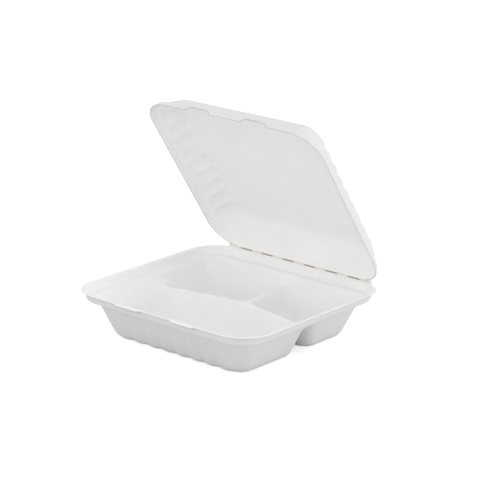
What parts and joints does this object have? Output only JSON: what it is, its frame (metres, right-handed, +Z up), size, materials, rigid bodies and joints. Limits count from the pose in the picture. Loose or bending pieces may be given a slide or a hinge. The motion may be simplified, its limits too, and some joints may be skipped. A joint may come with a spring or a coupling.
{
  "type": "clamshell meal box",
  "caption": "Moulded pulp clamshell meal box: a compartmented base and a shallow lid joined by a slitted fold.",
  "frame": {"origin": "middle of the base's underside, where the box stands on a table, midway between the rim's sides and between its front and the fold", "axes": "+X along the fold, to the right as the open box faces its user; +Y from the front towards the fold; +Z up"},
  "size_m": [0.23, 0.2323, 0.2224],
  "materials": {
    "base": "matt moulded plant fibre",
    "lid": "matt moulded plant fibre"
  },
  "bodies": {
    "base": {"base": "base"},
    "lid": {"lid": "lid"}
  },
  "joints": [
    {"name": "lid_fold", "type": "hinge", "parent": "base", "child": "lid", "pos_m": [0, 0.11, 0.04715], "axis": [-1, 0, 0], "range_deg": [-54.8, 125.2]}
  ]
}
